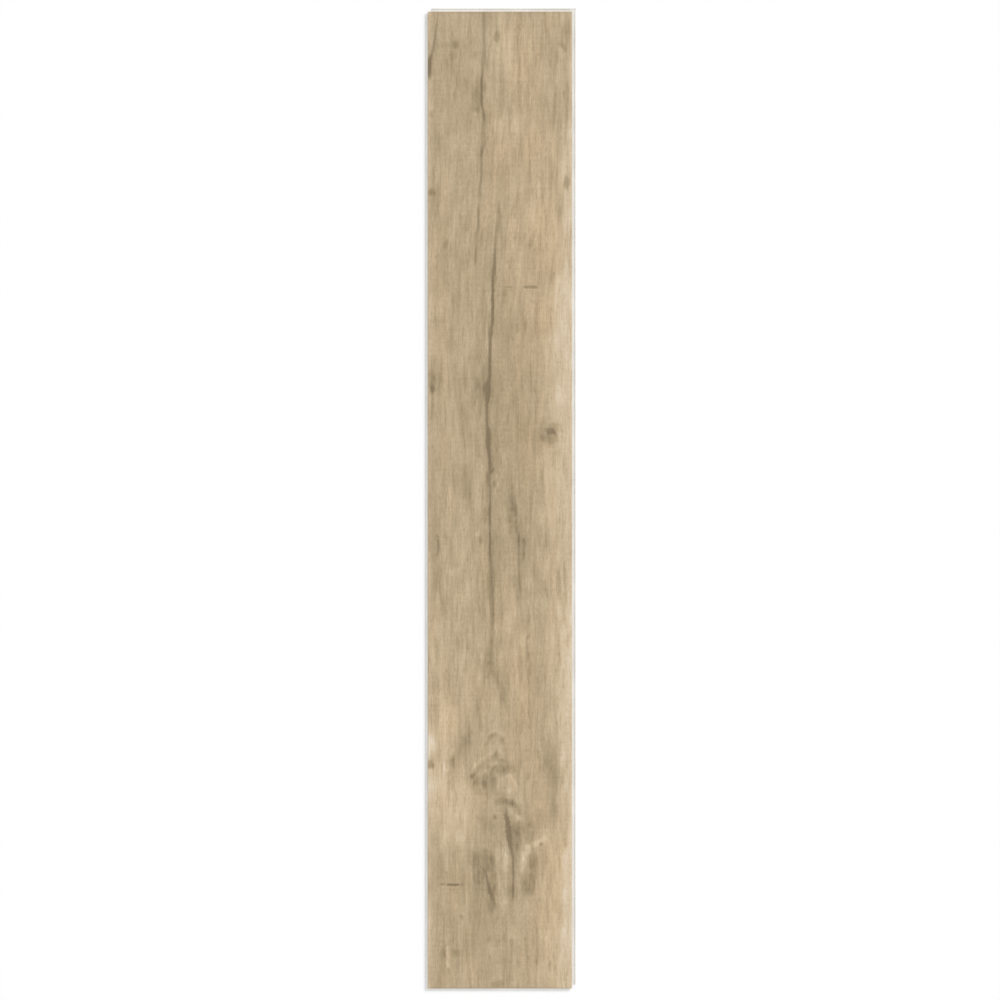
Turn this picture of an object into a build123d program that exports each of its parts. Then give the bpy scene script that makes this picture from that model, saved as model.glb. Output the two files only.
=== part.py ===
"""Rigid core vinyl plank: one floor board with a click-lock profile milled along all four edges.

Millimetres. +Z is up and the printed face is on top. The length runs along Y. The origin is on the underside,
below the middle of the printed face, so boards laid in a floor repeat at the face width and the face length.
"""

import os
from math import radians, tan

from build123d import *

# The board
face_length = 1220.0
face_width = 180.0
thickness = 5.0
bevel_width = 0.8
bevel_depth = 0.4
edge_chamfer = 0.2

# The locking profile, measured outwards from the joint line, where two printed faces meet
upper_lip = 1.75
tongue_reach = 2.4
tongue_root = 1.95
tongue_tip = 1.5
lip_reach = 4.6
nib_width = 1.0
nib_height = 0.8
lock_angle = 60.0
belly_end = 0.6

# The end cutters are set a little lower than the long ones, so the profiles share no height where they cross
end_drop = 0.02

# Room between the tongue of one board and the groove of the next
fit = 0.05
tip_gap = 0.15
nib_gap = 0.15
lip_gap = 0.2

# Corner radii of the profile
tip_radius = 0.6
mouth_radius = 0.2
nib_radius = 0.15
nib_nose_radius = 0.4
belly_radius = 6.0

# Heights above the underside
groove_ceiling = thickness - upper_lip
tongue_top = groove_ceiling - fit
tongue_underside = tongue_top - tongue_tip
groove_floor = tongue_underside - fit
belly = tongue_top - tongue_root
lip_floor = belly - fit
nib_top = lip_floor + nib_height
recess_ceiling = nib_top + nib_gap

# Distances from the joint line
groove_depth = tongue_reach + tip_gap
recess_depth = lip_reach + lip_gap
nib_inside = lip_reach - nib_width

# The board is sawn larger than its milled size, and the cutters reach as far past its faces
overcut = lip_reach
sawn_width = face_width + 2 * (lip_reach + overcut)
sawn_length = face_length + 2 * (lip_reach + overcut)


def lock_face(height, play=0.0):
    """Distance from the joint line to the slanted locking face, at a height, moved inwards by a play."""
    return nib_inside - play - (nib_top - height) / tan(radians(lock_angle))


# The two locking profiles as (outwards from the joint line, height, corner radius).
# The groove's runs from its upper lip down to the nib, and the tongue's runs from its recess up to the face.
groove_profile = [
    (0, groove_ceiling, mouth_radius),
    (-groove_depth, groove_ceiling, tip_radius),
    (-groove_depth, groove_floor, tip_radius),
    (belly_end, lip_floor, belly_radius),
    (lock_face(lip_floor), lip_floor, nib_radius),
    (nib_inside, nib_top, nib_radius),
    (lip_reach, nib_top, nib_nose_radius),
]
tongue_profile = [
    (-recess_depth, recess_ceiling, nib_radius),
    (-lock_face(recess_ceiling, fit), recess_ceiling, nib_radius),
    (-lock_face(belly, fit), belly, nib_radius),
    (-belly_end, belly, belly_radius),
    (tongue_reach, tongue_underside, tip_radius),
    (tongue_reach, tongue_top, tip_radius),
    (0, tongue_top, 0),
]

# The bevel and the chamfer of the underside's edges, both carried on past the faces of the sawn board
bevel_foot = (0, thickness - bevel_depth, 0)
bevel_end = (-bevel_width - overcut * bevel_width / bevel_depth, thickness + overcut, 0)
lip_chamfer = [(lip_reach, edge_chamfer, 0), (lip_reach - edge_chamfer - overcut, -overcut, 0)]
recess_chamfer = [(-recess_depth - edge_chamfer - overcut, -overcut, 0), (-recess_depth, edge_chamfer, 0)]


def lowered(profile, drop):
    """The corners of a profile, moved down."""
    return [(out, height - drop, radius) for out, height, radius in profile]


def section_outline(face, drop):
    """Draws the closed section that the cutters leave across a face, tongue on the low side, groove on the high."""
    groove_edge = [bevel_end, bevel_foot, *lowered(groove_profile, drop), *lip_chamfer]
    tongue_edge = [*recess_chamfer, *lowered(tongue_profile, drop), bevel_foot, bevel_end]
    corners = [(face / 2 + out, height) for out, height, _ in groove_edge]
    corners += [(-face / 2 - out, height) for out, height, _ in tongue_edge]
    radii = [radius for _, _, radius in groove_edge + tongue_edge]
    FilletPolyline(*corners, radius=radii, close=True)


with BuildPart() as plank:
    Box(sawn_width, sawn_length, thickness, align=(Align.CENTER, Align.CENTER, Align.MIN))

    # The long edges are milled first, and then the short ones, right across the width
    for plane, face, drop, run in (
        (Plane.XZ, face_width, 0, sawn_length),
        (Plane.YZ, face_length, end_drop, sawn_width),
    ):
        with BuildSketch(plane):
            with BuildLine():
                section_outline(face, drop)
            make_face()
        extrude(amount=run, both=True, mode=Mode.INTERSECT)

    # Where a tongue runs into a groove at a corner, everything under the upper lip is milled away
    notch_size = recess_depth + groove_depth + overcut
    long_groove_end = (face_width / 2 - groove_depth, -face_length / 2 + recess_depth)
    long_tongue_end = (-face_width / 2 + recess_depth, face_length / 2 - groove_depth)
    for inner_corner, outwards in (
        (long_groove_end, (Align.MIN, Align.MAX)),
        (long_tongue_end, (Align.MAX, Align.MIN)),
    ):
        with Locations(inner_corner):
            Box(
                notch_size,
                notch_size,
                groove_ceiling,
                align=(*outwards, Align.MIN),
                mode=Mode.SUBTRACT,
            )

plank.part.label = "plank"
os.makedirs("parts", exist_ok=True)
export_step(plank.part, "parts/plank.step")
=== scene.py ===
"""Looks of a rigid core vinyl plank: one click-lock floor board with an oak print, embossed in register.

The board's edges and underside come from the frame's own mesh. The printed face is a fine grid worked out
here, with the grain pressed into it, and the same fields of grain, cracks and tone colour the print above
it. Lengths in the lists are millimetres, x across and y along, from the middle of the printed face.
"""

from math import radians

import bpy
import numpy as np
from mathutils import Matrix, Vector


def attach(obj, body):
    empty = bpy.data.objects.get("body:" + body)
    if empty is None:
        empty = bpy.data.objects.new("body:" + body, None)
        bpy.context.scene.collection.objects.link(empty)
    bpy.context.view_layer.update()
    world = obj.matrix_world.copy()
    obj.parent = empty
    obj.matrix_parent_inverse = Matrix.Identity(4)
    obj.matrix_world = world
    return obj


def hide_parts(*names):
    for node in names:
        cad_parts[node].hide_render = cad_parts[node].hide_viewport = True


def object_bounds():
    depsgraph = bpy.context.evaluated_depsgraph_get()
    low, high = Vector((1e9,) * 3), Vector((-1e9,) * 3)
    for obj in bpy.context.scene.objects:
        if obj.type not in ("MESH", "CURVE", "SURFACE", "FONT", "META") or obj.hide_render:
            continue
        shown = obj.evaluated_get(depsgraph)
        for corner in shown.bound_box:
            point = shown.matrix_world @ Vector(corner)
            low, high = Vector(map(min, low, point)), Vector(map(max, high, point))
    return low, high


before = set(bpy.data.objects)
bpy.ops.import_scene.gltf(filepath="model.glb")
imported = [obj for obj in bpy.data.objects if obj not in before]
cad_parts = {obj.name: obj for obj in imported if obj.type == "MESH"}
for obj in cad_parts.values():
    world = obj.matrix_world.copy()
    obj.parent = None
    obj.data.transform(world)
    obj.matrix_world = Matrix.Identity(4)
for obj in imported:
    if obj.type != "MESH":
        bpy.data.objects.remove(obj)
cad_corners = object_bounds()

MM = 0.001
# Points closer than this are one point
SAME_PLACE = 0.001 * MM

# The grid of the printed face: finer across the grain than along it
GRID_ACROSS = 160
GRID_ALONG = 580

# Depths of the press in millimetres: its ground, the cracks, the saw cuts and the rings
EMBOSS_GROUND = 0.1
CRACK_DEPTH = 0.28
CUT_DEPTH = 0.1
RING_DEPTH = 0.05
# The press fades out over this border of the flat face
EMBOSS_FADE = 4.0

# Lightness is counted in steps of the 8-bit scale, as the print renders, from the print's mean
PRINT_MEAN = 169.5
# Lightness taken off beside a crack, on the rings, and in a thin line over the end bevels past the end line
CRACK_SHADE = 9.0
RING_SHADE = 11.0
END_SHADE = 7.0
END_LINE = 609.0

# The print's colours from its cracks to its palest sapwood, as (lightness that it renders at, olive, tan)
PRINT_COLOURS = [
    (124, "857358", "857358"),
    (134, "917E62", "937E61"),
    (145, "9F8C6D", "A18C6B"),
    (160, "AF9B7C", "B19C7A"),
    (169, "B9A586", "BDA683"),
    (179, "C5B191", "C9B28D"),
    (188, "CEBA9C", "D2BB99"),
    (196, "D6C3A7", "D8C3A5"),
    (209, "E1D1B9", "E1D1B8"),
]
CRACK_COLOUR = "827156"
# The core's colours, from its darkest stone to its palest
CORE_COLOURS = ("DDD9D1", "EEEBE5")
# The colour sockets of a mix node, which share their names with its other sockets
MIX_FIRST, MIX_SECOND, MIX_RESULT = 6, 7, 2

# The pale sapwood along the right edge, from the top down, as (y, x of its border, lightness)
SAPWOOD = [
    (610, 84, 10),
    (480, 84, 13),
    (458, 80, 18),
    (432, 79, 19),
    (412, 81, 20),
    (352, 81, 16),
    (298, 84, 13),
    (278, 72, 19),
    (232, 63, 24),
    (198, 62, 24),
    (184, 67, 22),
    (108, 71, 23),
    (60, 71, 15),
    (22, 67, 17),
    (-30, 70, 16),
    (-72, 72, 14),
    (-112, 74, 17),
    (-150, 76, 22),
    (-195, 77, 25),
    (-240, 75, 22),
    (-300, 74, 23),
    (-330, 76, 23),
    (-352, 82, 24),
    (-410, 85, 21),
    (-450, 80, 22),
    (-470, 78, 25),
    (-530, 78, 26),
    (-566, 76, 23),
    (-580, 69, 18),
    (-610, 69, 18),
]

# Wide soft areas of the print, and a painted highlight along the left border, as (x, y, reach across,
# reach along, lightness). In this list and the next ones, the entries under a heading run from the top
# down.
AREAS = [
    # Beside the sapwood
    (76, 515, 8, 26, -6),
    (45, 350, 36, 50, 5),
    (54, 226, 9, 30, -8),
    (62, 165, 10, 30, 4),
    (52, 15, 7, 34, 4),
    (92, 0, 6, 1500, 4),
    (60, -258, 8, 40, -5),
    (69, -340, 12, 46, -15),
    (74, -350, 6, 16, -6),
    (62, -440, 12, 35, 6),
    (58, -520, 12, 60, 6),
    # The left edge, with a painted highlight along its border
    (-90, 545, 12, 18, -10),
    (-88, 470, 6, 16, -7),
    (-84, 375, 12, 22, -6),
    (-86, 150, 14, 20, -10),
    # Painted highlight along the left border, which lifts the left bevel where it leans away from the lamp
    (-91, 0, 3.6, 900, 18),
    (-90, -545, 5, 30, 11),
    # The dark heart along the middle
    (-24, 262, 18, 45, -7),
    (8, 232, 13, 70, -6),
    (10, 160, 34, 70, -9),
    (-16, 142, 10, 28, -6),
    (30, 80, 24, 50, -6),
    (-36, 75, 16, 60, -4),
    (3, 70, 20, 70, -4),
    (-5, 65, 4, 10, 12),
    (40, 55, 20, 50, -3),
    (-14, 40, 13, 60, -5),
    (37, 30, 6, 24, -6),
    (4, -30, 5, 24, 7),
    (20, -30, 14, 45, -8),
    (-12, -60, 12, 75, -6),
    (36, -78, 20, 62, -4),
    (38, -80, 16, 55, -7),
    (-9, -212, 13, 18, -12),
    (2, -236, 9, 18, -11),
    # Upper part
    (75, 575, 20, 26, -4),
    (6, 565, 26, 34, 10),
    (-38, 545, 20, 75, -6),
    (-25, 505, 12, 28, -8),
    (12, 466, 20, 20, 12),
    (0, 398, 8, 26, -7),
    (-37, 380, 18, 80, -3),
    (-70, 282, 20, 42, -8),
    (42, 215, 12, 34, 5),
    (-72, 195, 12, 45, -5),
    (-36, 190, 19, 110, -3),
    (-42, 132, 20, 55, -4),
    (50, 85, 20, 14, -5),
    # Left and middle
    (-72, 110, 18, 50, -4),
    (-42, 25, 8, 28, -3),
    (-78, -70, 8, 50, -3),
    (-57, -80, 14, 55, 8),
    (37, -104, 9, 11, 13),
    (-70, -112, 6, 52, -7),
    (11, -122, 9, 18, -8),
    (10, -158, 10, 18, 4),
    (-42, -160, 12, 24, -4),
    # The pale left side beside the arches
    (-84, -257, 8, 10, -8),
    (-68, -280, 12, 40, 15),
    (-44, -292, 11, 30, -10),
    (-88, -303, 9, 15, 39),
    (-51, -303, 10, 22, -8),
    (-61, -342, 6, 22, -9),
    (-77, -346, 13, 26, 20),
    (-87, -366, 8, 30, 8),
    (-58, -395, 32, 34, 14),
    (-37, -396, 6, 24, 8),
    # Under and round the arches
    (14, -300, 6, 20, -8),
    (14, -335, 7, 8, -9),
    (2, -343, 7, 7, -8),
    (-29, -360, 6, 14, -14),
    (-6, -365, 8, 6, -8),
    (-12, -366, 8, 7, -8),
    (-16, -406, 12, 8, -12),
    (-16, -422, 12, 14, -4),
    # Below the arches
    (-75, -446, 7, 14, -11),
    (20, -452, 5, 30, -9),
    (-8, -462, 9, 26, -7),
    (-60, -472, 34, 24, -7),
    (3, -478, 5, 12, 7),
    (30, -478, 5, 14, -6),
    (-24, -483, 12, 8, -9),
    (-26, -500, 12, 16, -5),
    (4, -505, 5, 30, 9),
    (28, -515, 6, 26, 7),
    (-11, -518, 11, 28, -9),
    (16, -518, 7, 26, -8),
    (-3, -549, 9, 6, -9),
    (-50, -555, 44, 58, -9),
    (34, -560, 24, 40, -4),
]

# Tan areas, where the print is warmer than its ground, as (x, y, reach across, reach along, warmth)
TAN_AREAS = [
    (25, 540, 36, 70, 0.6),
    (30, 442, 50, 26, 0.6),
    (48, 340, 34, 60, 0.8),
    (45, 215, 34, 75, 0.7),
    (52, 60, 26, 40, 0.4),
    (22, -225, 30, 75, 0.8),
    (-66, -278, 18, 34, 0.7),
    (40, -345, 24, 50, 0.4),
    (-55, -372, 30, 40, 0.6),
    (64, -500, 28, 110, 0.8),
]

# Spots, burrs and brown or pale patches as (x, y, reach across, reach along, lightness)
PATCHES = [
    # Dark spots
    (83, 590, 7, 15, -10),
    (-3.5, 578.5, 4.2, 7, -25),
    (-55, 569, 4.6, 5.4, -19),
    (-68, 569, 7, 4, -7),
    (76.5, 569, 5, 4, -14),
    (81, 566, 3.4, 6.5, -20),
    (-59, 555, 4.6, 8, -9),
    (80, 505, 2, 6, -14),
    (-87, 483, 2.4, 5, -16),
    (83, 397, 4.5, 9, -28),
    (-85, 383, 5.5, 4.5, -24),
    (-68, 318, 3.2, 5.5, -19),
    (-77, 301, 4, 5, -10),
    (-59, 251, 2.2, 4.5, -11),
    (-83, 173, 4, 8, -8),
    (-74, 151, 2.2, 4.5, -13),
    (-85, 150, 5, 14, -18),
    (-85, 138, 3.8, 5.5, -26),
    (-31, 121, 2, 4, -10),
    (-23.5, -50, 2.8, 6, -22),
    (-26, -61, 6, 6, -11),
    (48, -318, 2.6, 5.5, -13),
    (-60, -326, 3.2, 6, -17),
    (-87, -331, 4.5, 6, -36),
    (35, -345, 3.4, 5.5, -12),
    (52, -429, 2.4, 3, -26),
    (-48, -520, 2.4, 3, -14),
    (-13, -549, 2.4, 3.6, -18),
    (15, -553, 3, 7, -14),
    (-2, -554, 2.4, 4, -12),
    (-53, -566, 5, 4.5, -14),
    (-72.5, -567, 4.4, 7, -19),
    (45, -576, 2, 5, -14),
    (24, -579, 2.4, 4, -13),
    (63, -582, 2, 5, -13),
    (-2, -604, 10, 4.5, -14),
    # Pale spots
    (-67, 384, 2, 4, 10),
    (-36, 377, 4, 7, 8),
    (-28, -42, 2.4, 4, 13),
    (-57, -90, 8, 5, 8),
    (-67, -334, 4, 6.5, 15),
    (-60, -396, 7, 12, 6),
    (-50, -421, 6, 9, 6),
    (-67, -424, 3.4, 14, 8),
    (-65, -452, 5, 14, 9),
    # Brown beside the cracks
    (-19.5, 515, 2.6, 7, -14),
    (-29, 503, 5, 18, -13),
    (-30, 488, 8, 4, -9),
    (-1.5, 352, 4, 19, -13),
    (-7.5, 286, 3.6, 6, -16),
    (-11.5, 210, 3.6, 9, -20),
    (-20, 158, 4, 12, -11),
    (-16, 136, 4.8, 11.5, -40),
    (-14.5, 74, 3.2, 14, -28),
    (-9.5, 38, 2.2, 4, -22),
    (-16.5, 27, 2.4, 7, -20),
    (-7, 21, 2.2, 4.6, -18),
    (14.5, 10, 3, 10, -17),
    (-16, 8, 2.4, 12, -11),
    (15.5, -10, 6, 17, -25),
    (-18, -20, 4, 11, -15),
    (13, -33, 3, 15, -15),
    (20, -33, 3.4, 8, -17),
    (-10, -64, 2, 14, -11),
    (-10.5, -102, 5, 28, -18),
    (-9.5, -147, 3.2, 20, -20),
    (-11.5, -185, 4.6, 22, -13),
    # The knot
    (68, 93, 5.5, 4, -20),
    (63, 85.5, 7, 4.4, -42),
    (70, 85, 3.6, 8, -14),
    (61, 84, 14, 15, -6),
    (52.5, 79, 3, 4.5, -15),
    (63, 76, 10, 6.5, -18),
    # The arches
    (5, -291, 2.4, 2.6, 10),
    (-22, -292, 4, 4.5, 8),
    (-11.5, -296.5, 3.6, 3.8, -13),
    (1.5, -300, 2.4, 4, -13),
    (-18, -303, 2.4, 3, -8),
    (-5.5, -317, 2.2, 3.6, -14),
    (-5.5, -319.5, 6, 3, -18),
    (5, -330, 6, 4, -6),
    (-31, -331, 2.6, 3, 10),
    (-11, -335, 6, 4.5, -11),
    (0, -337, 12, 5.4, -15),
    (-32, -341, 2.4, 3.4, -13),
    (-10, -342, 4, 3.4, -8),
    (-18.5, -345, 4.4, 3.4, -9),
    (11.5, -345.5, 4, 2.8, 18),
    (-35, -346.5, 2.6, 3, -36),
    (-9, -349, 2.4, 3, -8),
    (-2.5, -351, 2, 3.4, 6),
    (-14, -351.5, 10.5, 9.5, -18),
    (-30, -351.5, 3.8, 8.5, -21),
    (-6, -353, 2.4, 6, -14),
    (-18, -356, 4.4, 5, -9),
    (9, -357, 8, 8, 5),
    (19.5, -357, 2.6, 3.6, 12),
    (11, -363, 8, 3, 12),
    (-27, -366, 5, 4, -8),
    (-16, -372, 2.4, 7, -7),
    (23.5, -375, 3.8, 5.4, 18),
    (11, -376, 4, 4, -8),
    (16, -380, 5.5, 3.8, -15),
    (6, -386, 7, 5, -9),
    (21, -396, 3.4, 3, 9),
    (-7, -397, 3.4, 3, -23),
    (-25, -397, 7, 2.6, -11),
    # The brown wedge and hearts below the arches, and the pale oval between the hearts
    (37, -407.5, 4, 2.6, -14),
    (15.5, -408, 3, 8, -13),
    (34, -412, 11, 13, -13),
    (41, -416, 2.6, 5, -12),
    (20.5, -422, 6.4, 17, -29),
    (44, -431, 5, 4.6, 14),
    (34, -432, 3.4, 3.4, 9),
    (-16, -440, 5, 4.6, -7),
    (28.5, -447, 4, 11, 9),
    (5, -449, 6.4, 18, 17),
    (-22, -451, 15.5, 15, -24),
    (41.5, -451, 7.4, 9.5, -16),
    (-11, -452, 6, 12, -12),
    (39.5, -464, 6.4, 13, -14),
    (13.5, -470, 4.4, 28, -11),
    (-27, -472, 7, 8, -20),
    (-9, -476, 5.4, 15, -15),
    (36, -481, 7.8, 13.5, -24),
    (-6, -486, 3, 10, -14),
    (15, -490, 6, 12, -9),
    (-9, -495, 2.6, 5, -12),
    (-11, -505, 5, 10, -13),
]

# Strokes of the figure as (half width, lightness, points along the stroke)
STROKES = [
    # The arches
    (2.2, -7, [(-18, -306), (-12, -296), (-5, -292), (1, -296), (5, -306)]),
    (2.0, 6, [(-24, -312), (-20, -303), (-14, -293), (-5, -287), (3, -291), (9, -303)]),
    (2.4, -9, [(3, -325), (9, -328), (16, -333), (21, -341), (23, -354)]),
    (2.0, 7, [(-36, -338), (-31, -331), (-25, -325), (-16, -319), (-12, -317)]),
    (2.0, -8, [(4, -338), (8, -333), (13, -335)]),
    (2.0, -8, [(-12, -340), (-8, -333), (-1, -332), (4, -333)]),
    (2.4, -10, [(-32, -343), (-28, -337), (-24, -333), (-20, -330), (-15, -326), (-6, -324), (3, -325)]),
    (2.2, 8, [(-2, -360), (1, -349), (7, -346), (14, -346), (19, -354), (21, -364)]),
    (1.3, 8, [(-24, -362), (-24, -346), (-21, -340), (-14, -336)]),
    (4.2, -19, [(-3, -377), (5, -376), (12, -377), (18, -380)]),
    (2.6, -11, [(20, -383), (23.5, -386), (24.5, -391)]),
    (3.0, 7, [(15, -388), (18, -394), (22, -397)]),
    (4.0, -7, [(28, -388), (36, -398), (42, -410)]),
    (3.8, 17, [(55, -423), (47, -428), (38, -433), (31, -444), (28, -462)]),
    # The right heart's outer side and its middle
    (2.6, -9, [(45.6, -442), (45.2, -470)]),
    (1.7, 8, [(39.2, -447), (39, -470)]),
    # The smear where the long crack runs out
    (4.4, -13, [(-12, -205), (-8, -216), (-2, -228), (3, -240), (4, -250)]),
    # Dark lines of the grain
    (4.0, -9, [(-36, 608), (-36, 554)]),
    (1.8, -12, [(55.5, 608), (55.5, 585)]),
    (1.8, -12, [(23.5, 592), (23.5, 531)]),
    (1.8, -13, [(38, 423), (38, 395)]),
    (1.8, -12, [(38, 328), (38, 318)]),
    (3.0, -8, [(32.5, 222), (32.5, 212)]),
    (1.8, -12, [(22, 219), (22, 210)]),
    (3.6, -8, [(-43, 42), (-43, 5)]),
    (2.2, -26, [(-77.5, -46), (-78, -68)]),
    (2.0, -20, [(30, -48), (30, -73)]),
    (3.4, -10, [(-79, -72), (-79, -112)]),
    (1.7, -10, [(80, -77), (80, -107)]),
    (5.0, -8, [(-70, -124), (-70, -141)]),
    (3.4, -12, [(35.5, -146), (35.5, -172)]),
    (2.2, -12, [(-41, -162), (-41, -187)]),
    (2.0, -17, [(34, -172), (34.5, -200)]),
    (1.7, -10, [(37, -204), (37, -285)]),
    (1.7, -12, [(80, -212), (80, -234)]),
    (1.7, -9, [(27, -252), (27, -290)]),
    (4.0, -4, [(-41, -262), (-40, -312)]),
    (5.0, -8, [(-44, -300), (-52, -316), (-60, -332)]),
    (5.0, -6, [(66, -310), (67, -390)]),
    (3.6, -6, [(-61, -322), (-61, -358)]),
    (3.4, -10, [(-75, -576), (-75, -608)]),
    # Pale lines of the grain
    (2.0, 9, [(48, 395), (48, 380)]),
    (1.4, 10, [(-9, 320), (-9, 308)]),
    (1.6, 11, [(-2.6, 292), (-2.6, 275)]),
    (1.3, 9, [(-12.4, 276), (-12.6, 236)]),
    (1.3, 7, [(-5.4, 272), (-5.8, 222)]),
    (1.6, 12, [(-16.5, 218), (-16.5, 190)]),
    (1.6, 14, [(-3, 33), (-3, 18)]),
    (4.0, 6, [(10.5, -140), (10.5, -172)]),
    (1.7, 15, [(-23.5, -191), (-23.5, -204)]),
    (1.7, 15, [(-16, -225), (-16, -236)]),
    (2.6, 21, [(-64, -558), (-64, -582)]),
]

# Drying cracks filled dark, from the top down, as (y, x, half width, darkness from 0 to 1).
# The long one runs down the middle of the board, and the grain leans with it.
LONG_CRACK = [
    (378, 0.0, 1.2, 0.1),
    (366, -1.6, 2.3, 0.3),
    (346, -2.2, 2.8, 0.26),
    (334, -3.6, 3.0, 0.2),
    (318, -6.2, 1.7, 0.45),
    (303, -6.8, 1.7, 0.72),
    (294, -6.6, 1.8, 0.8),
    (284, -8.0, 2.6, 0.65),
    (277, -9.0, 1.9, 0.95),
    (222, -9.3, 1.9, 0.95),
    (212, -11.4, 2.4, 0.6),
    (200, -12.4, 1.9, 0.8),
    (152, -13.0, 1.9, 0.95),
    (144, -15.0, 3.0, 0.95),
    (128, -15.6, 3.2, 0.95),
    (120, -16.6, 1.9, 0.85),
    (96, -16.6, 1.7, 0.8),
    (84, -14.8, 2.6, 0.9),
    (62, -14.2, 2.6, 0.95),
    (52, -13.0, 2.0, 0.95),
    (36, -12.6, 2.0, 0.9),
    (26, -13.6, 2.2, 0.55),
    (14, -12.2, 1.2, 0.7),
    (-4, -12.2, 1.2, 0.7),
    (-10, -13.0, 1.8, 0.9),
    (-28, -12.8, 1.8, 0.9),
    (-36, -12.6, 1.3, 0.55),
    (-42, -12.6, 1.6, 0.95),
    (-70, -12.6, 1.6, 0.95),
    (-78, -12.0, 2.4, 0.5),
    (-126, -10.8, 2.4, 0.4),
    (-152, -9.4, 1.9, 0.4),
    (-170, -10.0, 1.6, 0.15),
    (-198, -12.0, 1.6, 0.3),
    (-208, -12.0, 1.4, 0.0),
]
# Where the long crack lies on average, and the lengths over which cracks' corners and the lean are eased
LONG_CRACK_MEAN = -8.0
CORNER_EASE = 13
LEAN_EASE = 81
# How far from a crack or a saw cut its offset is kept, in half widths
OFFSET_REACH = 4.0
CRACKS = [
    LONG_CRACK,
    # At the top left corner
    [
        (609, -77.0, 1.0, 0.3),
        (590, -79.5, 1.3, 0.5),
        (574, -81.5, 1.6, 0.6),
        (560, -84.4, 1.6, 0.55),
        (550, -87.8, 2.5, 1.0),
        (532, -88.3, 2.5, 1.0),
        (524, -88.3, 1.0, 0.0),
    ],
    # Left of the middle, from the top end
    [
        (609, -20.0, 2.1, 0.36),
        (560, -20.0, 2.2, 0.38),
        (550, -21.4, 2.4, 0.42),
        (533, -21.8, 2.0, 0.45),
        (525, -23.2, 1.5, 0.95),
        (496, -23.2, 1.5, 0.95),
        (488, -21.6, 1.4, 0.5),
        (480, -20.0, 1.8, 0.95),
        (472, -20.6, 2.7, 0.45),
        (442, -21.4, 3.0, 0.42),
        (434, -23.2, 1.8, 0.95),
        (426, -23.2, 1.5, 0.5),
        (400, -23.4, 1.5, 0.5),
        (392, -25.0, 2.3, 0.4),
        (380, -25.4, 2.3, 0.35),
        (371, -26.4, 1.2, 0.15),
        (362, -27.0, 1.6, 0.65),
        (340, -27.0, 1.6, 0.65),
        (332, -29.0, 2.2, 0.3),
        (318, -29.8, 2.2, 0.3),
        (310, -30.4, 1.6, 0.55),
        (296, -30.6, 1.6, 0.55),
        (288, -31.0, 1.0, 0.0),
    ],
    # Right of the long crack's lower half
    [
        (-38, 22.6, 1.4, 0.2),
        (-46, 23.4, 1.7, 0.9),
        (-53, 23.4, 1.7, 0.9),
        (-60, 23.4, 1.6, 0.5),
        (-76, 23.6, 1.6, 0.45),
        (-84, 23.6, 1.5, 0.4),
        (-104, 24.0, 1.6, 0.45),
        (-114, 26.0, 1.8, 0.35),
        (-130, 27.0, 1.2, 0.0),
    ],
    # Under the arches
    [
        (-388, 6.6, 1.8, 0.1),
        (-394, 7.6, 3.2, 0.9),
        (-403, 9.6, 3.2, 0.95),
        (-413, 10.8, 4.2, 0.95),
        (-424, 11.6, 4.0, 0.95),
        (-434, 13.2, 2.1, 0.9),
        (-442, 15.6, 1.6, 0.8),
        (-450, 16.2, 1.5, 0.7),
        (-466, 16.3, 1.4, 0.65),
        (-474, 16.3, 1.2, 0.3),
        (-481, 16.2, 1.6, 0.85),
        (-494, 16.0, 1.5, 0.85),
        (-502, 15.6, 1.0, 0.0),
    ],
    # In the left heart
    [
        (-457, -25.0, 1.6, 0.2),
        (-463, -20.0, 1.8, 0.5),
        (-469, -16.8, 1.6, 0.7),
        (-478, -15.2, 1.7, 0.75),
        (-485, -13.4, 2.4, 0.95),
        (-494, -11.2, 3.0, 0.95),
        (-499, -8.6, 2.2, 0.6),
        (-503, -6.4, 2.0, 0.7),
        (-509, -7.0, 1.4, 0.2),
        (-515, -8.0, 1.0, 0.0),
    ],
]

# Saw cuts across the grain as (y, left end, right end, half width, darkness), and how far their ends fade
SAW_CUTS = [
    (266, 3, 18, 1.3, 0.35),
    (266, 27, 49, 2.0, 0.6),
    (223, -88, -61, 2.6, 0.16),
    (-257, -90, -74, 2.0, 0.18),
    (-480, -78, -43, 1.4, 0.5),
    (-480.5, -69, -48, 1.6, 0.9),
]
CUT_FADE = 5.0

# The rings of the arches: growth rings cut at a slope, along an axis given by (y, x) points
ARCH_AXIS = [(-500, 17.0), (-440, 15.0), (-376, 7.0), (-291, -6.0)]
ARCH_TOP = -270.0
ARCH_FOOT = -400.0
ARCH_SLOPE = 0.1
RING_SPACING = 3.6
# The middle of the knot
KNOT = (63.0, 84.0)


def smooth(t):
    """Smooth step from 0 to 1, 3t² - 2t³, held at both ends."""
    t = np.clip(t, 0.0, 1.0)
    return t * t * (3.0 - 2.0 * t)


def bell(x, y, at_x, at_y, reach_x, reach_y):
    """A soft hill, e to the minus squared distance, with a reach across and a reach along."""
    return np.exp(-(((x - at_x) / reach_x) ** 2) - ((y - at_y) / reach_y) ** 2)


def stroke_distance(x, y, points):
    """Distance to a line through the points: the least, over its pieces, of the distance to the piece."""
    least = np.full_like(x, 1e6)
    for (x0, y0), (x1, y1) in zip(points[:-1], points[1:]):
        span_x, span_y = x1 - x0, y1 - y0
        share = np.clip(((x - x0) * span_x + (y - y0) * span_y) / (span_x**2 + span_y**2), 0.0, 1.0)
        least = np.minimum(least, np.hypot(x - x0 - share * span_x, y - y0 - share * span_y))
    return least


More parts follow.
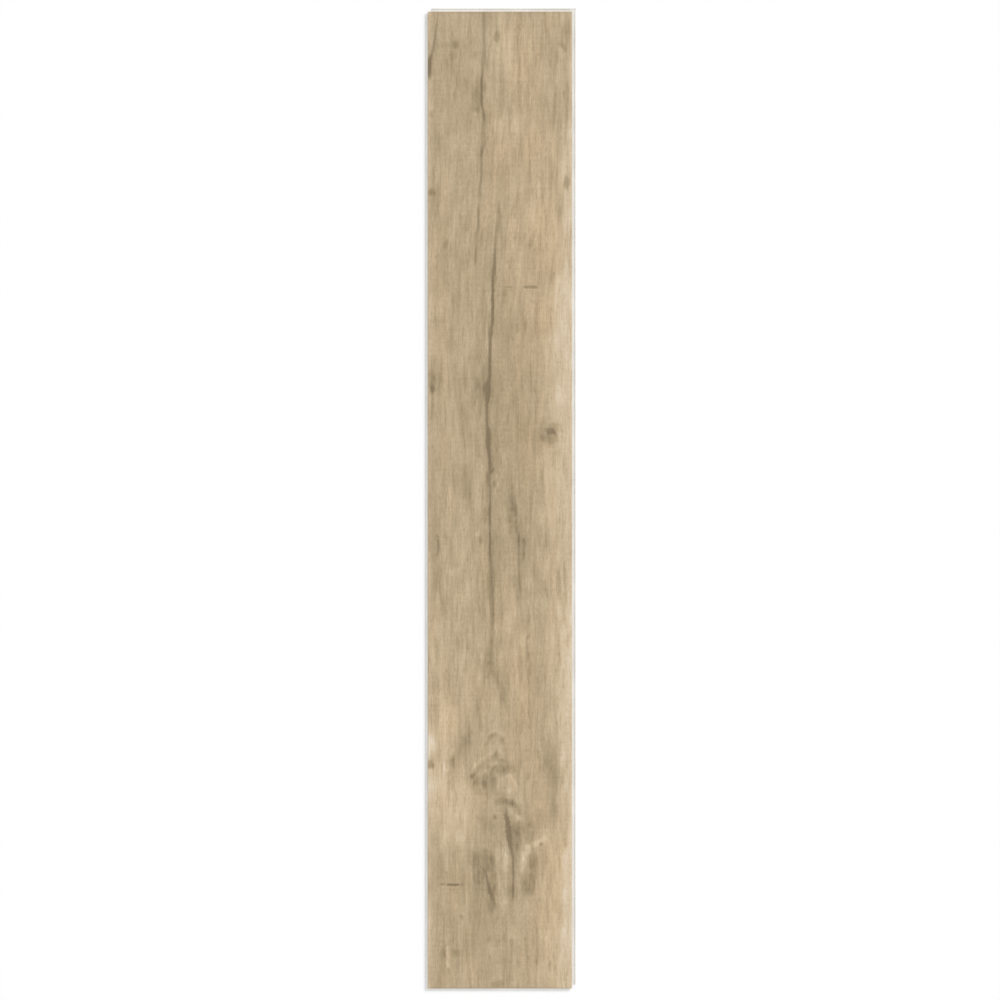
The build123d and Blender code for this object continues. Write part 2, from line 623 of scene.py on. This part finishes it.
def drawn_noise(across, along, width, length, seed):
    """Noise drawn out along the grain, from -1 to 1.

    Each grain line of the given width has a row of random values, a length apart, from a random start.
    The value at a point is the smooth blend of the two values beside it on its line, blended again with
    the next line's.
    """
    random = np.random.default_rng(seed)
    lines, steps = 512, 128
    values = random.uniform(-1.0, 1.0, (lines, steps))
    starts = random.uniform(0.0, steps, lines)
    place = across / width
    line = np.floor(place).astype(int)
    beside = smooth(place - line)
    total = np.zeros_like(across)
    for step, share in ((0, 1.0 - beside), (1, beside)):
        own = (line + step) % lines
        run = along / length + starts[own]
        first = np.floor(run).astype(int)
        blend = smooth(run - first)
        before, after = values[own, first % steps], values[own, (first + 1) % steps]
        total += share * (before * (1.0 - blend) + after * blend)
    return total


def eased(row, weights):
    """A row of values, each made the weighted mean of itself and its neighbours."""
    return np.convolve(np.pad(row, len(weights) // 2, mode="edge"), weights / weights.sum(), mode="valid")


def eased_path(points):
    """A crack's place, half width and darkness at each millimetre along the board, with corners eased."""
    path = np.array(points)[::-1]
    along = np.arange(-640.0, 641.0)
    rows = [np.interp(along, path[:, 0], path[:, i]) for i in (1, 2)]
    rows.append(np.interp(along, path[:, 0], path[:, 3], left=0.0, right=0.0))
    return along, [eased(row, np.hanning(CORNER_EASE)) for row in rows]


def grain_place(x, y):
    """The grain line through a point, as the x that it would have on straight grain.

    It is x, less a slow lean that follows the long crack in the middle of the board, less slow random
    bends, and pushed aside round the knot.
    """
    along, (crack_x, _, _) = eased_path(LONG_CRACK)
    lean = np.interp(y, along, eased(crack_x, np.ones(LEAN_EASE))) - LONG_CRACK_MEAN
    place = x - lean * np.exp(-(((x + 5.0) / 60.0) ** 2))
    place = place - 3.0 * drawn_noise(x, y, 55.0, 260.0, 11) - 0.9 * drawn_noise(x, y, 12.0, 50.0, 12)
    push = bell(x, y, *KNOT, 15.0, 20.0)
    place = place - 0.7 * push * (x - KNOT[0])
    # Lines wide and narrow by turns
    return place + 1.3 * drawn_noise(place, y, 4.1, 900.0, 13)


def arch_rings(x, y):
    """The rings of the arches, as darkness from 0 to 1, and the area where they show.

    A ring's radius is the root of the squared distance from the axis plus the squared height of the cut
    above the heart, which falls evenly from the top of the arches to their foot. Rings are dark at even
    steps of the radius.
    """
    points = np.array(ARCH_AXIS)
    aside = x - np.interp(y, points[:, 0], points[:, 1])
    height = ARCH_SLOPE * np.clip(y - ARCH_FOOT, 0.0, ARCH_TOP - ARCH_FOOT) + 1.5
    radius = np.sqrt(aside**2 + height**2)
    wobble = 0.35 * drawn_noise(x, y, 9.0, 16.0, 21) + 0.2 * drawn_noise(x, y, 3.5, 8.0, 22)
    ring = (radius / RING_SPACING + wobble) % 1.0
    dark = np.exp(-(((ring - 0.5) / 0.17) ** 2))
    blotch = 0.55 + 0.45 * drawn_noise(x, y, 6.0, 12.0, 23)
    area = bell(aside, y, 0.0, -352.0, 34.0, 75.0)
    return dark * blotch, area


def crack_offsets(x, y):
    """How far each point is from the nearest crack, in half widths with a sign, and how dark that is."""
    offset = np.full_like(x, np.inf)
    dark = np.zeros_like(x)
    for crack in CRACKS:
        along, (crack_x, half, depth) = eased_path(crack)
        own_offset = (x - np.interp(y, along, crack_x)) / np.interp(y, along, half)
        own_dark = np.interp(y, along, depth)
        nearest = np.minimum(np.abs(offset), OFFSET_REACH)
        near = (np.abs(own_offset) < nearest) & (own_dark > 0.0)
        offset = np.where(near, own_offset, offset)
        dark = np.where(near, own_dark, dark)
    return np.clip(offset, -OFFSET_REACH, OFFSET_REACH), dark


def cut_offsets(x, y):
    """The same for the saw cuts, which run across: the offset is along the board."""
    offset = np.full_like(x, np.inf)
    dark = np.zeros_like(x)
    for at_y, left, right, half, depth in SAW_CUTS:
        own_offset = (y - at_y) / half
        own_dark = depth * smooth((x - left) / CUT_FADE) * smooth((right - x) / CUT_FADE)
        near = (np.abs(own_offset) < OFFSET_REACH) & (own_dark > 0.0)
        offset = np.where(near, own_offset, offset)
        dark = np.where(near, own_dark, dark)
    return np.clip(offset, -OFFSET_REACH, OFFSET_REACH), dark


def figure_marks(x, y):
    """The patches and strokes of the figure, as lightness.

    A patch is e to the minus fourth power of the distance in reaches, and a stroke e to the minus cube of
    the distance in half widths. Both are ragged: their places are moved by a short noise.
    """
    ragged_x = x + 1.2 * drawn_noise(x, y, 5.0, 9.0, 7)
    ragged_y = y + 1.8 * drawn_noise(x, y, 5.0, 9.0, 8)
    marks = np.zeros_like(x)
    for at_x, at_y, reach_x, reach_y, light in PATCHES:
        away = np.hypot((ragged_x - at_x) / reach_x, (ragged_y - at_y) / reach_y)
        marks += light * np.exp(-(away**4))
    for half, light, points in STROKES:
        away = stroke_distance(ragged_x, ragged_y, points)
        marks += light * np.exp(-((away / half) ** 3))
    return marks


def print_fields(x, y):
    """Everything that the print and the emboss share, as arrays over points given in millimetres.

    The tone is a sum of lightness steps: noises of several widths along the grain, the sapwood, the areas,
    the marks, the rings and the shade beside the cracks. The depth is a sum of the finer noises, the rings,
    the cracks and the saw cuts.
    """
    place = grain_place(x, y)
    rings, ring_area = arch_rings(x, y)
    straight = 1.0 - 0.6 * ring_area
    broad = drawn_noise(place, y, 21.0, 240.0, 1)
    middle = drawn_noise(place, y, 8.3, 95.0, 2)
    short = drawn_noise(place, y, 4.7, 34.0, 3)
    narrow = drawn_noise(place, y, 2.4, 42.0, 4)
    broken = drawn_noise(place, y, 3.4, 15.0, 5)
    blotch = drawn_noise(x, y, 13.0, 19.0, 6)
    tone = 3.0 * broad + 4.5 * middle + 4.0 * blotch
    tone += straight * (5.0 * short + 2.0 * narrow + 3.5 * broken)
    # Dark flecks stand out more than pale ones
    tone -= straight * 9.0 * np.maximum(0.0, 0.6 * short + 0.6 * narrow - 0.35)

    # The sapwood steps up twice, first to a half pale band and then across its own ragged border
    border_y, border_x, pale = np.array(SAPWOOD)[::-1].T
    past = x - np.interp(y, border_y, border_x) + 3.0 * short + 2.0 * blotch + 2.0 * broken
    steps_up = 0.4 * smooth(past / 20.0 + 1.2) + 0.6 * smooth(past / 9.0 + 0.5)
    tone += np.interp(y, border_y, pale) * steps_up

    for at_x, at_y, reach_x, reach_y, light in AREAS:
        tone += light * bell(x, y, at_x, at_y, reach_x, reach_y)
    marks = figure_marks(x, y)
    mottle = np.clip(1.6 * drawn_noise(x, y, 3.0, 5.0, 10), -1.0, 1.0)
    tone += marks * (1.0 + 0.22 * broken + 0.26 * mottle)
    tone += ring_area * (2.0 - RING_SHADE * rings)
    # A thin darker line is coloured over the end bevels, past the end line
    tone -= END_SHADE * (np.abs(y) > END_LINE)
    offset, dark = crack_offsets(x, y)
    tone -= CRACK_SHADE * dark * np.exp(-((offset / 2.6) ** 2))

    warm = 0.1 + 0.35 * drawn_noise(place, y, 17.0, 90.0, 9) + 0.2 * short
    for at_x, at_y, reach_x, reach_y, share in TAN_AREAS:
        warm += share * bell(x, y, at_x, at_y, reach_x, reach_y)

    cut_offset, cut_dark = cut_offsets(x, y)
    depth = 0.05 * narrow + 0.04 * short - RING_DEPTH * ring_area * rings
    depth -= CRACK_DEPTH * dark * np.exp(-(offset**2)) + CUT_DEPTH * cut_dark * np.exp(-(cut_offset**2))
    return {
        "place": place,
        "along": y,
        "tone": tone,
        "warm": warm,
        "offset": offset,
        "dark": dark,
        "cut_offset": cut_offset,
        "cut_dark": cut_dark,
        "depth": depth,
    }


def merged(points):
    """The points with those that lie in one place made one, and the new index of each old one."""
    keys = np.round(points / SAME_PLACE).astype(np.int64)
    _, first, same = np.unique(keys, axis=0, return_index=True, return_inverse=True)
    return points[first], same.reshape(-1)


def frame_triangles(node):
    """The vertices and triangles of a node of the frame, merged."""
    mesh = node.data
    mesh.calc_loop_triangles()
    points = np.empty(len(mesh.vertices) * 3)
    mesh.vertices.foreach_get("co", points)
    triangles = np.empty(len(mesh.loop_triangles) * 3, np.int32)
    mesh.loop_triangles.foreach_get("vertices", triangles)
    points, index = merged(points.reshape(-1, 3))
    return points, index[triangles.reshape(-1, 3)]


def face_grid(low, high):
    """A level grid over the rectangle between two corners, as rows of points along the board."""
    across = np.linspace(low[0], high[0], GRID_ACROSS + 1)
    along = np.linspace(low[1], high[1], GRID_ALONG + 1)
    x, y = np.meshgrid(across, along)
    return np.stack([x, y, np.full_like(x, low[2])], axis=-1).reshape(-1, 3)


def rim(grid):
    """The border of a grid of indices, once round, counter-clockwise from its first corner."""
    return np.concatenate([grid[0, :-1], grid[:-1, -1], grid[-1, :0:-1], grid[:0:-1, 0]])


def plank_mesh():
    """The board with its printed face as a grid, before the emboss.

    The frame's triangles on the flat face and the bevel give way to a grid over the flat, and to a bevel
    strip from the grid's border to the same number of points on the bevel's foot. Each side's wall
    triangle under the foot becomes a fan over those points, so that the skin stays closed.
    """
    points, triangles = frame_triangles(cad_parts["plank"])
    on_top = points[:, 2] > points[:, 2].max() - 0.01 * MM
    touching = on_top[triangles].any(axis=1)
    feet = np.setdiff1d(triangles[touching], np.flatnonzero(on_top))
    kept = triangles[~touching]

    shape = (GRID_ALONG + 1, GRID_ACROSS + 1)
    flat = face_grid(points[on_top].min(axis=0), points[on_top].max(axis=0))
    foot_grid = face_grid(points[feet].min(axis=0), points[feet].max(axis=0))
    foot_points = foot_grid[rim(np.arange(len(foot_grid)).reshape(shape))]
    grid = len(points) + np.arange(len(flat)).reshape(shape)
    foot = len(points) + len(flat) + np.arange(len(foot_points))
    everything = np.concatenate([points, flat, foot_points])

    quads = np.stack([grid[:-1, :-1], grid[:-1, 1:], grid[1:, 1:], grid[1:, :-1]], axis=-1).reshape(-1, 4)
    inner = rim(grid)
    bevel = np.stack([foot, np.roll(foot, -1), np.roll(inner, -1), inner], axis=-1)

    fans = []
    foot_round = np.append(foot, foot[0])
    start = 0
    for count in (GRID_ACROSS, GRID_ALONG, GRID_ACROSS, GRID_ALONG):
        side = foot_round[start : start + count + 1]
        ends = [np.argmin(np.linalg.norm(points - everything[i], axis=1)) for i in (side[0], side[-1])]
        wall = np.isin(kept, ends).sum(axis=1) == 2
        apex = np.setdiff1d(kept[wall], ends)
        kept = kept[~wall]
        fans.append(np.stack([side[1:], side[:-1], np.full(count, apex[0])], axis=-1))
        start += count

    # The corners of the flat and of the foot are in both meshes
    points, index = merged(everything)
    return points, index[quads], index[bevel], index[np.concatenate([kept, *fans])], index[grid].reshape(-1)


def linear(code):
    """An sRGB hex colour as linear red, green, blue and alpha."""
    srgb = np.array([int(code[i : i + 2], 16) for i in (0, 2, 4)]) / 255.0
    rgb = np.where(srgb <= 0.04045, srgb / 12.92, ((srgb + 0.055) / 1.055) ** 2.4)
    return (*rgb.tolist(), 1.0)


def add(tree, kind, inputs=None, **settings):
    """Adds a node to a tree, with its settings.

    Each input is set to a value, or linked to an output, or to the first output of another node.
    """
    node = tree.nodes.new(kind)
    for name, value in settings.items():
        setattr(node, name, value)
    for socket, value in (inputs or {}).items():
        if isinstance(value, bpy.types.Node):
            value = value.outputs[0]
        if isinstance(value, bpy.types.NodeSocket):
            tree.links.new(value, node.inputs[socket])
        else:
            node.inputs[socket].default_value = value
    return node


def new_material(name):
    """An empty node material and its tree."""
    material = bpy.data.materials.new(name)
    material.use_nodes = True
    material.node_tree.nodes.clear()
    return material, material.node_tree


def printed_vinyl():
    """Oak print under a clear wear layer with a matt urethane coat, pressed with the grain.

    The eye gets a dull, even sheen, a flat greige oak with grey and tan streaks, fine dark pores, and
    cracks that are both printed dark and pressed in.
    """
    material, tree = new_material("printed_vinyl_matt_urethane")
    fields = {}
    for name in ("grain", "figure", "lines", "cuts"):
        fields[name] = add(tree, "ShaderNodeAttribute", attribute_name=name).outputs["Vector"]
    figure = add(tree, "ShaderNodeSeparateXYZ", {0: fields["figure"]}).outputs
    crack = add(tree, "ShaderNodeSeparateXYZ", {0: fields["lines"]}).outputs
    cut = add(tree, "ShaderNodeSeparateXYZ", {0: fields["cuts"]}).outputs

    # Noises drawn out along the grain, as width and length in millimetres, detail and roughness.
    # Fibres hold finer ones down to a thirtieth of their size. Pores and saw marks are coarser than the
    # real print's, so that they show.
    noise = {}
    for name, width, length, detail, rough in (
        ("fibre", 5.0, 38.0, 5.0, 0.7),
        ("fleck", 2.0, 5.0, 2.0, 0.5),
        ("line", 6.0, 110.0, 2.0, 0.4),
        ("pore", 0.55, 7.0, 1.0, 0.5),
        ("saw_mark", 36.0, 3.0, 2.0, 0.5),
        ("ragged", 1.5, 4.0, 2.0, 0.5),
    ):
        scale = (1 / width, 1 / length, 0)
        place = add(tree, "ShaderNodeVectorMath", {0: fields["grain"], 1: scale}, operation="MULTIPLY")
        noise[name] = add(
            tree,
            "ShaderNodeTexNoise",
            {"Vector": place, "Scale": 1.0, "Detail": detail, "Roughness": rough},
            noise_dimensions="2D",
        )

    # Thin dark grain lines: where their noise passes through its middle value, fading with the fibres
    line_away = add(tree, "ShaderNodeMath", {0: noise["line"], 1: 0.5}, operation="SUBTRACT")
    line_away = add(tree, "ShaderNodeMath", {0: line_away}, operation="ABSOLUTE")
    masks = []
    for value, none, full in (
        (line_away, 0.06, 0.01),
        (noise["fibre"], 0.6, 0.4),
        (noise["pore"], 0.62, 0.74),
    ):
        masks.append(
            add(
                tree,
                "ShaderNodeMapRange",
                {"Value": value, "From Min": none, "From Max": full},
                interpolation_type="SMOOTHSTEP",
            )
        )
    on_line, line_share, pores = masks
    grain_lines = add(tree, "ShaderNodeMath", {0: on_line, 1: line_share}, operation="MULTIPLY")

    # Lightness steps: the figure's tone, plus each pattern's distance from its middle times its weight
    steps = figure["X"]
    for pattern, middle, weight in (
        (noise["fibre"], 0.5, 34.0),
        (noise["fleck"], 0.5, 18.0),
        (grain_lines, 0.0, -9.0),
        (pores, 0.0, -12.0),
        (noise["saw_mark"], 0.5, 8.0),
    ):
        away = add(tree, "ShaderNodeMath", {0: pattern, 1: middle}, operation="SUBTRACT")
        steps = add(tree, "ShaderNodeMath", {0: away, 1: weight, 2: steps}, operation="MULTIPLY_ADD")
    darkest, palest = PRINT_COLOURS[0][0], PRINT_COLOURS[-1][0]
    position = add(
        tree,
        "ShaderNodeMapRange",
        {"Value": steps, "From Min": darkest - PRINT_MEAN, "From Max": palest - PRINT_MEAN},
    )
    ramps = []
    for palette in (1, 2):
        ramp = add(tree, "ShaderNodeValToRGB", {"Fac": position})
        stops = ramp.color_ramp.elements
        for row in PRINT_COLOURS[1:-1]:
            stops.new((row[0] - darkest) / (palest - darkest))
        for stop, row in zip(stops, PRINT_COLOURS):
            stop.color = linear(row[palette])
        ramps.append(ramp)
    # Streaks lean to olive or to tan at the same lightness
    tinted = add(
        tree,
        "ShaderNodeMix",
        {"Factor": figure["Y"], MIX_FIRST: ramps[0], MIX_SECOND: ramps[1]},
        data_type="RGBA",
    )

    # Cracks and saw cuts: dark where the offset is under one half width, with a ragged edge
    edge = add(tree, "ShaderNodeMath", {0: noise["ragged"], 1: 1.2, 2: -0.6}, operation="MULTIPLY_ADD")
    masks = []
    for line in (crack, cut):
        away = add(tree, "ShaderNodeMath", {0: line["X"]}, operation="ABSOLUTE")
        reach = add(tree, "ShaderNodeMath", {0: away, 1: edge}, operation="ADD")
        inside = add(
            tree,
            "ShaderNodeMapRange",
            {"Value": reach, "From Min": 1.35, "From Max": 0.55},
            interpolation_type="SMOOTHSTEP",
        )
        masks.append(add(tree, "ShaderNodeMath", {0: inside, 1: line["Y"]}, operation="MULTIPLY"))
    cracked = add(tree, "ShaderNodeMath", {0: masks[0], 1: masks[1]}, operation="MAXIMUM")
    colour = add(
        tree,
        "ShaderNodeMix",
        {"Factor": cracked, MIX_FIRST: tinted.outputs[MIX_RESULT], MIX_SECOND: linear(CRACK_COLOUR)},
        data_type="RGBA",
    )

    # The coat is duller in the pores and cracks, and the press leaves them lower
    low = add(tree, "ShaderNodeMath", {0: pores, 1: cracked}, operation="MAXIMUM")
    roughness = add(tree, "ShaderNodeMapRange", {"Value": low, "To Min": 0.5, "To Max": 0.68})
    height = add(tree, "ShaderNodeMath", {0: low, 1: -1.0, 2: noise["fibre"]}, operation="MULTIPLY_ADD")
    bump = add(tree, "ShaderNodeBump", {"Strength": 0.6, "Distance": 0.06 * MM, "Height": height})
    shader = add(
        tree,
        "ShaderNodeBsdfPrincipled",
        {
            "Base Color": colour.outputs[MIX_RESULT],
            "Roughness": roughness,
            "Normal": bump,
            "IOR": 1.46,
            "Specular IOR Level": 0.4,
        },
    )
    add(tree, "ShaderNodeOutputMaterial", {"Surface": shader})
    return material


def vinyl_core():
    """Limestone-filled rigid vinyl, pressed as a sheet and milled on its edges.

    The eye gets a pale, dry, chalky grey with fine stone flecks, and cutter lines along the milled edges.
    """
    material, tree = new_material("stone_filled_vinyl_core")
    place = add(tree, "ShaderNodeTexCoord").outputs["Object"]
    # Stone flecks 0.8 mm across, clouds of 45 mm, and cutter lines 60 mm long and 0.25 mm apart in height
    flecks = add(
        tree,
        "ShaderNodeTexNoise",
        {"Vector": place, "Scale": 1 / (0.8 * MM), "Detail": 4.0, "Roughness": 0.7},
    )
    clouds = add(tree, "ShaderNodeTexNoise", {"Vector": place, "Scale": 1 / (45 * MM), "Detail": 2.0})
    line_scale = (1 / (60 * MM), 1 / (60 * MM), 1 / (0.25 * MM))
    line_place = add(tree, "ShaderNodeVectorMath", {0: place, 1: line_scale}, operation="MULTIPLY")
    cutter = add(tree, "ShaderNodeTexNoise", {"Vector": line_place, "Scale": 1.0, "Detail": 1.0})
    shade = add(tree, "ShaderNodeMath", {0: flecks, 1: 0.6, 2: clouds}, operation="MULTIPLY_ADD")
    ramp = add(tree, "ShaderNodeValToRGB", {"Fac": shade})
    for stop, position, code in zip(ramp.color_ramp.elements, (0.5, 1.0), CORE_COLOURS):
        stop.position = position
        stop.color = linear(code)
    height = add(tree, "ShaderNodeMath", {0: cutter, 1: 0.6, 2: flecks}, operation="MULTIPLY_ADD")
    bump = add(tree, "ShaderNodeBump", {"Strength": 0.5, "Distance": 0.05 * MM, "Height": height})
    shader = add(
        tree,
        "ShaderNodeBsdfPrincipled",
        {"Base Color": ramp, "Roughness": 0.7, "Normal": bump, "IOR": 1.5},
    )
    add(tree, "ShaderNodeOutputMaterial", {"Surface": shader})
    return material


def plank():
    """Builds the visible board, which stands for the frame's plank.

    The printed face is lowered by its emboss, which fades out towards the bevel.
    """
    points, quads, bevel, milled, grid = plank_mesh()
    fields = print_fields(points[:, 0] / MM, points[:, 1] / MM)
    flat = points[grid, :2]
    border = np.minimum(flat - flat.min(axis=0), flat.max(axis=0) - flat).min(axis=1)
    pressed = np.minimum(fields["depth"][grid] - EMBOSS_GROUND, 0.0) * smooth(border / MM / EMBOSS_FADE)
    points[grid, 2] += pressed * MM

    mesh = bpy.data.meshes.new("printed_plank")
    mesh.from_pydata(points, [], quads.tolist() + bevel.tolist() + milled.tolist())
    piece = bpy.data.objects.new("printed_plank", mesh)
    bpy.context.scene.collection.objects.link(piece)
    mesh.materials.append(printed_vinyl())
    mesh.materials.append(vinyl_core())
    printed = len(quads) + len(bevel)
    mesh.polygons.foreach_set("material_index", np.repeat(np.int32([0, 1]), [printed, len(milled)]))
    mesh.shade_smooth()
    mesh.set_sharp_from_angle(angle=radians(24))

    # Each attribute carries two fields of the print to the material
    for name, first, second in (
        ("grain", "place", "along"),
        ("figure", "tone", "warm"),
        ("lines", "offset", "dark"),
        ("cuts", "cut_offset", "cut_dark"),
    ):
        values = np.stack([fields[first], fields[second], np.zeros(len(points))], axis=-1)
        attribute = mesh.attributes.new(name, "FLOAT_VECTOR", "POINT")
        attribute.data.foreach_set("vector", values.astype(np.float32).ravel())
    return piece


def seen_directly(tree):
    """Adds what is 1 for a ray from the camera, a gloss or a glass, and 0 for the light on the board."""
    path = add(tree, "ShaderNodeLightPath").outputs
    seen = add(
        tree,
        "ShaderNodeMath",
        {0: path["Is Camera Ray"], 1: path["Is Glossy Ray"]},
        operation="MAXIMUM",
    )
    return add(tree, "ShaderNodeMath", {0: seen, 1: path["Is Transmission Ray"]}, operation="MAXIMUM")


def studio():
    """A pale floor under even white light from all round, with a wide soft lamp from the upper right."""
    size = 30.0
    # Just under the board, so that the floor and the underside share no plane
    level = -0.1 * MM
    mesh = bpy.data.meshes.new("studio_floor")
    corners = [(-size, -size, level), (size, -size, level), (size, size, level), (-size, size, level)]
    mesh.from_pydata(corners, [], [(0, 1, 2, 3)])
    floor = bpy.data.objects.new("studio_floor", mesh)
    bpy.context.scene.collection.objects.link(floor)
    # Pale paper, which looks white and still takes the board's shadow
    material, tree = new_material("pale_studio_paper")
    paper = add(tree, "ShaderNodeBsdfDiffuse", {"Color": linear("E6E6E6")})
    glow = add(tree, "ShaderNodeEmission", {"Color": (1, 1, 1, 1), "Strength": 0.22})
    lit = add(tree, "ShaderNodeAddShader", {0: paper, 1: glow})
    mix = add(tree, "ShaderNodeMixShader", {0: seen_directly(tree), 1: paper, 2: lit})
    add(tree, "ShaderNodeOutputMaterial", {"Surface": mix})
    mesh.materials.append(material)

    world = bpy.data.worlds.new("studio")
    bpy.context.scene.world = world
    world.use_nodes = True
    tree = world.node_tree
    tree.nodes.clear()
    around = add(tree, "ShaderNodeBackground", {"Color": (1, 1, 1, 1), "Strength": 0.6})
    white = add(tree, "ShaderNodeBackground", {"Color": (1, 1, 1, 1), "Strength": 1.0})
    mix = add(tree, "ShaderNodeMixShader", {0: seen_directly(tree), 1: around, 2: white})
    add(tree, "ShaderNodeOutputWorld", {"Surface": mix})

    lamp = bpy.data.lights.new("soft_lamp", "SUN")
    lamp.energy = 1.6
    lamp.angle = radians(50)
    holder = bpy.data.objects.new("soft_lamp", lamp)
    holder.location = (2.0, 1.6, 3.0)
    holder.rotation_mode = "QUATERNION"
    holder.rotation_quaternion = (-holder.location).to_track_quat("-Z", "Y")
    bpy.context.scene.collection.objects.link(holder)


def camera():
    """Looks straight down on the board, with its length up the picture."""
    data = bpy.data.cameras.new("camera")
    data.lens = 120.0
    data.sensor_width = 36.0
    # What the picture takes in at the height of the printed face
    picture_width = 1249 * MM
    eye = bpy.data.objects.new("camera", data)
    eye.location = (0.0, 0.0, cad_corners[1].z + picture_width * data.lens / data.sensor_width)
    bpy.context.scene.collection.objects.link(eye)
    bpy.context.scene.camera = eye


board = plank()
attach(board, "root")
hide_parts("plank")
studio()
camera()
bpy.context.scene.view_settings.view_transform = "Standard"
